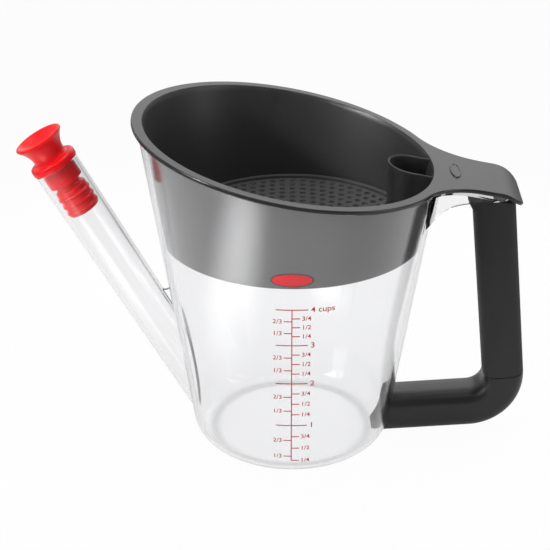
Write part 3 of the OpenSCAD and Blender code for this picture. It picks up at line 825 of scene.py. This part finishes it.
makeArm()
makeGrip()


# red stopper: heights are measured along the spout from its mouth

print("stopper")
plug = {"clearance": 0.3, "flangeR": 11.7, "waistR": 8.1, "knobR": 12.15, "knobUp": 16.2, "knobEdge": 1.2,
        "dish": 4.6, "flare": 2.1, "ridges": 3, "ridgeFrom": -24.6, "ridgeStep": 3.9, "deep": 26}


def makeStopper():
    r = spoutR(spout["length"] - plug["deep"]) - spout["wall"] - plug["clearance"]
    f, waist, knob = plug["flangeR"], plug["waistR"], plug["knobR"]
    top = plug["knobUp"] - plug["knobEdge"]
    profile = [(-plug["deep"], 0.01), (-plug["deep"], r - 1.5), (-25.7, r - 1.0), (-25.2, r - 0.7)]
    ridge = ((0, 0.7), (0.35, 0.25), (0.9, 0), (1.45, 0.25), (1.8, 0.7), (2.6, 0.8))
    for k in range(plug["ridges"]):
        low = plug["ridgeFrom"] + plug["ridgeStep"] * k
        profile += [(low + up, r - inn) for up, inn in ridge]
    # neck, then the part that fills the spout's mouth
    profile += [(-12.6, r - 0.75), (-12.2, r - 1.2), (-11.6, r - 2.0), (-10.7, r - 2.35), (-9.8, r - 2.0),
                (-9.3, r - 1.1), (-9.0, r - 0.3), (-8.6, r), (-0.3, r), (0.06, r + 0.02)]
    # flange and waist
    profile += [(0.06, f - 0.5), (0.2, f - 0.2), (0.6, f), (1.8, f), (2.7, f), (3.5, f - 0.25),
                (3.95, f - 0.8), (4.1, f - 1.6), (4.2, waist + 0.9), (4.6, waist + 0.25), (5.4, waist)]
    profile += [(5.6 + (top - 5.6) * k / 12, waist + (knob - waist) * (k / 12) ** plug["flare"])
                for k in range(1, 13)]
    profile += [(top + 0.6, knob), (top + 1.0, knob - 0.25), (top + 1.2, knob - 0.8),
                (top + 1.15, knob - 1.3)]
    # hollow top
    for k in range(1, 13):
        share = 1 - k / 12
        profile.append((top + 1.05 - plug["dish"] * (1 - share * share), (knob - 1.6) * share + 0.01))
    piece = spoutLoft("spoutStopper", [(spout["length"] + up, radius) for up, radius in profile], stopperRed)
    give(piece, stopperBody, "soft_red", "stopper")


makeStopper()


# numerals beside the scale's lines, which come from the CAD

print("numerals")
marks = {"cups": 4, "cupVolume": 236600.0, "out": 0.22, "big": 4.4, "small": 3.5, "bold": 0.055, "bigX": 8.7,
         "smallX": 4.5, "cornerShare": 0.22}


# volume in cubic millimetres below height z, in the cup and the spout together
def volumeAt(z):
    floorR = inR + slope * jug["floor"]
    cone = math.pi * ((inR + slope * z) ** 3 - floorR ** 3) / (3 * slope)
    cornerR = floorR - marks["cornerShare"] * jug["inCorner"]
    loss = 2 * math.pi * cornerR * (1 - math.pi / 4) * jug["inCorner"] ** 2
    tube = math.pi * (spoutR(0) - spout["wall"]) ** 2 / spoutCos * max(0, z - spoutFoot.z)
    return cone - loss + tube


def heightOf(cups):
    low, high = jug["floor"], jug["rimHeight"]
    for _ in range(30):
        middle = (low + high) / 2
        if volumeAt(middle) < cups * marks["cupVolume"]:
            low = middle
        else:
            high = middle
    return low


# letters bent round the cup's side, from x to the right or left of it
def numeral(text, size, x, z, anchor):
    curve = bpy.data.curves.new("numeral", "FONT")
    curve.body, curve.size, curve.align_x, curve.align_y = text, size, anchor, "CENTER"
    curve.offset = marks["bold"] * size / marks["big"]
    obj = bpy.data.objects.new("numeral", curve)
    bpy.context.scene.collection.objects.link(obj)
    bpy.context.view_layer.update()
    flat = bpy.data.meshes.new_from_object(obj.evaluated_get(bpy.context.evaluated_depsgraph_get()))
    verts = []
    for v in flat.vertices:
        height = z + v.co.y * math.cos(math.radians(sideAngle))
        r = outAt(height) + marks["out"]
        turn = (x + v.co.x) / r
        verts.append((r * math.sin(turn), -r * math.cos(turn), height))
    faces = [tuple(p.vertices) for p in flat.polygons]
    bpy.data.objects.remove(obj)
    return verts, faces


def makeNumerals():
    labels = []
    for c in range(1, marks["cups"] + 1):
        text = "4 cups" if c == marks["cups"] else str(c)
        labels.append((text, marks["big"], marks["bigX"], heightOf(c), "LEFT"))
        for q, text in ((1, "3/4"), (2, "1/2"), (3, "1/4")):
            labels.append((text, marks["small"], marks["smallX"], heightOf(c - q / 4), "LEFT"))
        for q, text in ((1, "2/3"), (2, "1/3")):
            labels.append((text, marks["small"], -marks["smallX"], heightOf(c - q / 3), "RIGHT"))
    verts, faces = [], []
    for label in labels:
        v, f = numeral(*label)
        faces += [tuple(i + len(verts) for i in face) for face in f]
        verts += v
    give(meshObject("scaleNumerals", verts, faces, printRed), jugBody, "print_red")


makeNumerals()


# floor, lights and camera

print("stage")
# under, ring, ringIn, ringR and ringOut shape the painted shadow below the jug; the near, far and low values
# set how the floor's painted pool of light falls off away from it
studio = {"floor": 0.80, "front": 0.22, "rear": 0.62, "frontY": -0.5, "rearY": 0.6, "halfFloor": 3000.0,
          "floorWhite": 0.965, "mirrorWhite": 0.30, "throughWhite": 0.84, "throughLow": 0.3,
          "throughNear": 0.40, "throughFar": 1.1, "poolNear": 0.22, "poolFar": 0.42, "poolLow": 0.4,
          "under": 0.10, "ring": 0.42, "ringIn": 0.0355, "ringR": 0.0400, "ringOut": 0.0465, "floorZ": -0.05}


# floor that is lit as a pale table, and white where it is seen directly or through the clear plastic; its lit
# tone and its white in reflections and through the plastic fall off away from the jug, a painted pool of
# light;
# a painted shadow darkens it below the jug's base, most of all along a ring below the base's edge
def makeFloor():
    sheet = Sheet(bpy.data.materials.new("paleFloor"))
    path = sheet.add("ShaderNodeLightPath")
    here = sheet.add("ShaderNodeNewGeometry").out("Position")
    away = sheet.add("ShaderNodeVectorMath", {"operation": "LENGTH"}, {0: here}).out("Value")
    # painted pool of light: the lit tone, the white seen in reflections and the white seen through the
    # plastic fall off away from the jug
    litPool = sheet.fade(away, studio["poolNear"], studio["poolFar"], 1.0, studio["poolLow"])
    through = sheet.fade(away, studio["throughNear"], studio["throughFar"], studio["throughWhite"],
                         studio["throughLow"])
    # painted shadow: darker below the jug's base, darkest along a ring under the base's edge
    inner = sheet.fade(away, studio["ringIn"], studio["ringR"], studio["under"], studio["ring"])
    shade = 1.0 - inner * sheet.fade(away, studio["ringR"], studio["ringOut"], 1.0, 0.0)
    tone = sheet.mix(litPool * shade, grey(0.0), grey(studio["floor"]))
    bent = path.out("Is Transmission Ray")
    mirrored = path.out("Is Glossy Ray") * (1.0 - bent)  # a bent ray counts as glossy too
    white = path.out("Is Camera Ray") * studio["floorWhite"] + bent * through * shade
    white = (white + mirrored * litPool * studio["mirrorWhite"]).upTo(studio["floorWhite"])
    lit = sheet.add("ShaderNodeBsdfDiffuse", None, {"Color": tone})
    glow = sheet.add("ShaderNodeEmission", None, {"Color": grey(1.0), "Strength": 1.0})
    material = sheet.finish(sheet.add("ShaderNodeMixShader", None, {0: white, 1: lit, 2: glow}))
    s, z = studio["halfFloor"], studio["floorZ"]
    meshObject("floor", [(-s, -s, z), (s, -s, z), (s, s, z), (-s, s, z)], [(0, 1, 2, 3)], material)


# studio that is pale behind the object and darker in front of it
def makeWorld():
    world = bpy.data.worlds.new("studioWorld")
    bpy.context.scene.world = world
    sheet = Sheet(world)
    seen = sheet.add("ShaderNodeLightPath").out("Is Camera Ray")
    way = sheet.add("ShaderNodeTexCoord").out("Generated")
    back = sheet.add("ShaderNodeSeparateXYZ", None, {0: way}).out("Y")
    behind = sheet.fade(back, studio["frontY"], studio["rearY"], studio["front"], studio["rear"])
    values = {"Color": grey(1.0), "Strength": behind * (1.0 - seen) + seen}
    sheet.finish(sheet.add("ShaderNodeBackground", None, values), "World")


# glow is the box's own brightness, where 1 shows as white, and more than that where spread, in degrees, is
# narrow; a box that fades is brightest in its middle
def softbox(name, where, aim, width, height, glow, fades=False, spread=180):
    data = bpy.data.lights.new(name, "AREA")
    data.shape, data.size, data.size_y = "RECTANGLE", width, height
    data.energy = glow * math.pi * width * height
    data.spread = math.radians(spread)
    if fades:
        sheet = Sheet(data)
        place = sheet.add("ShaderNodeNewGeometry").out("Parametric")
        offset = sheet.add("ShaderNodeVectorMath", {"operation": "SUBTRACT"}, {0: place, 1: (0.5, 0.5, 0.0)})
        away = sheet.add("ShaderNodeVectorMath", {"operation": "LENGTH"}, {0: offset}).out("Value")
        values = {"Color": grey(1.0), "Strength": sheet.fade(away, 0.0, 0.5, 1.0, 0.0)}
        sheet.finish(sheet.add("ShaderNodeEmission", None, values), "Light")
    lamp = bpy.data.objects.new(name, data)
    bpy.context.scene.collection.objects.link(lamp)
    lamp.location = where
    lamp.rotation_euler = (Vector(aim) - Vector(where)).to_track_quat("-Z", "Y").to_euler()
    lamp.visible_camera = False


makeFloor()
makeWorld()
softbox("leftBox", (-0.80, -0.45, 0.55), (0, 0, 0.08), 0.35, 0.9, 5.0)
softbox("rightBox", (0.90, -0.20, 0.45), (0, 0, 0.08), 0.3, 0.8, 2.2)
softbox("topBox", (0.0, 0.05, 1.05), (0, 0, 0.08), 0.9, 0.7, 2.15)
softbox("backBox", (0.15, 1.10, 0.62), (0, 0, 0.12), 1.3, 0.7, 1.1)
softbox("mouthBox", (-0.65, -0.40, 0.52), (0.045, 0.05, 0.135), 0.13, 0.13, 0.8, spread=13)
softbox("floorCard", (-0.135, -0.175, 0.002), (-0.135, -0.175, 1.0), 0.17, 0.34, 4.2, fades=True)
softbox("rightCard", (0.08, -0.19, 0.002), (0.08, -0.19, 1.0), 0.26, 0.30, 0.22, fades=True)

view = {"location": (0.0, -0.680, 0.43383), "down": 27.016, "turn": 0.7226, "sensor": 36.0, "lens": 100.29}
camera = bpy.data.objects.new("camera", bpy.data.cameras.new("camera"))
bpy.context.scene.collection.objects.link(camera)
camera.location = view["location"]
camera.rotation_euler = (math.radians(90 - view["down"]), 0.0, math.radians(view["turn"]))
camera.data.sensor_width, camera.data.lens = view["sensor"], view["lens"]
camera.data.clip_start, camera.data.clip_end = 0.01, 20.0
bpy.context.scene.camera = camera
bpy.context.scene.view_settings.view_transform = "Standard"
